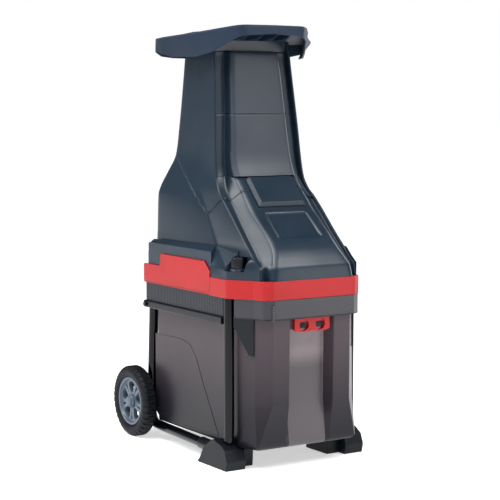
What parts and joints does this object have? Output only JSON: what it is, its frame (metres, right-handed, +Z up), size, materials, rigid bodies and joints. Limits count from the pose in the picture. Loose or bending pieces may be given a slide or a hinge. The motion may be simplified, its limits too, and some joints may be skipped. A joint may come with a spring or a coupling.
{
  "type": "electric garden wood chipper",
  "caption": "Upright electric garden chipper with a T-shaped feed hood, sloped motor housing, red band, slide-out collecting box, tube frame and two transport wheels.",
  "frame": {"origin": "on the floor, below the middle of the machine's bounding box", "axes": "+Z up; -Y towards the machine's front, where the sloped face and the collecting box are; +X towards the side away from the locking knob"},
  "size_m": [0.4, 0.572, 0.93],
  "materials": {
    "body": "dark blue-grey moulded plastic, satin",
    "panel": "dark grey moulded plastic, satin",
    "red": "red moulded plastic, semi-gloss",
    "box": "smoky brown-grey tinted plastic",
    "collar": "smoky grey tinted plastic",
    "black": "black plastic, satin",
    "tube": "gloss black powder coat on steel tube",
    "foot": "dark grey plastic, matt",
    "tyre": "dark grey solid tyre",
    "rim": "silver-grey plastic rim",
    "steel": "plain steel",
    "iron": "dark cast metal",
    "green": "green plastic"
  },
  "bodies": {
    "chassis": {"frame_tube_left": "tube", "frame_tube_right": "tube", "front_foot_left": "foot", "front_foot_right": "foot", "tube_sleeve_left": "black", "tube_sleeve_right": "black", "axle": "steel", "axle_bracket_left": "black", "axle_bracket_right": "black", "red_band": "red", "side_panel_left": "red", "side_panel_right": "red", "side_skirt_left": "collar", "side_skirt_right": "collar", "box_rail_left": "black", "box_rail_right": "black", "rail_bolt_left": "steel", "rail_bolt_right": "steel", "deck": "body", "hinge_pin_left": "steel", "hinge_pin_right": "steel", "motor_stator": "iron", "motor_end_cap": "iron", "run_capacitor": "black", "safety_switch": "black", "chamber_ring": "iron", "feed_guide": "iron", "counter_blade": "steel"},
    "wheel_left": {"tyre_left": "tyre", "wheel_rim_left": "rim", "hub_cap_left": "black"},
    "wheel_right": {"tyre_right": "tyre", "wheel_rim_right": "rim", "hub_cap_right": "black"},
    "rotor": {"motor_shaft": "steel", "knife_disc": "steel", "knife_1": "steel", "knife_2": "steel", "disc_bolt": "steel"},
    "catch_box": {"collecting_box": "box", "box_collar": "collar"},
    "latch": {"box_latch": "red"},
    "upper_unit": {"hopper": "body", "upper_housing": "body", "front_panel_lower": "panel", "front_panel_upper": "panel", "hood": "body", "feed_chute": "black", "switch_base": "black", "switch_cover_pin": "steel", "slope_panel": "body", "power_inlet": "black", "inlet_pin_live": "steel", "inlet_pin_neutral": "steel", "inlet_pin_earth": "steel"},
    "knob": {"locking_knob": "black"},
    "cover": {"switch_cover": "body"},
    "start": {"start_button": "green"},
    "stop": {"stop_button": "red"}
  },
  "joints": [
    {"name": "wheel_spin_left", "type": "hinge", "parent": "chassis", "child": "wheel_left", "pos_m": [-0.163, 0.205, 0.081], "axis": [1, 0, 0], "continuous": true},
    {"name": "wheel_spin_right", "type": "hinge", "parent": "chassis", "child": "wheel_right", "pos_m": [0.163, 0.205, 0.081], "axis": [1, 0, 0], "continuous": true},
    {"name": "rotor_spin", "type": "hinge", "parent": "chassis", "child": "rotor", "pos_m": [0, -0.066, 0.415], "axis": [0, 0, 1], "continuous": true},
    {"name": "box_slide", "type": "slide", "parent": "chassis", "child": "catch_box", "axis": [0, -1, 0], "range_m": [0, 0.4]},
    {"name": "latch_slide", "type": "slide", "parent": "catch_box", "child": "latch", "axis": [0, 0, 1], "range_m": [-0.012, 0], "stiffness_N_per_m": 250, "springref_m": 0.004},
    {"name": "upper_unit_hinge", "type": "hinge", "parent": "chassis", "child": "upper_unit", "pos_m": [0, 0.182, 0.462], "axis": [-1, 0, 0], "range_deg": [0, 60]},
    {"name": "knob_turn", "type": "hinge", "parent": "upper_unit", "child": "knob", "pos_m": [-0.144, -0.211, 0.438], "axis": [0, 0, 1], "range_deg": [0, 90]},
    {"name": "switch_cover_hinge", "type": "hinge", "parent": "upper_unit", "child": "cover", "pos_m": [0, -0.1115, 0.6009], "axis": [-1, 0, 0], "range_deg": [0, 90]},
    {"name": "start_press", "type": "slide", "parent": "upper_unit", "child": "start", "axis": [0, 0.7141, -0.7001], "range_m": [0, 0.003], "stiffness_N_per_m": 300, "springref_m": -0.002},
    {"name": "stop_press", "type": "slide", "parent": "upper_unit", "child": "stop", "axis": [0, 0.7141, -0.7001], "range_m": [0, 0.003], "stiffness_N_per_m": 300, "springref_m": -0.002}
  ]
}
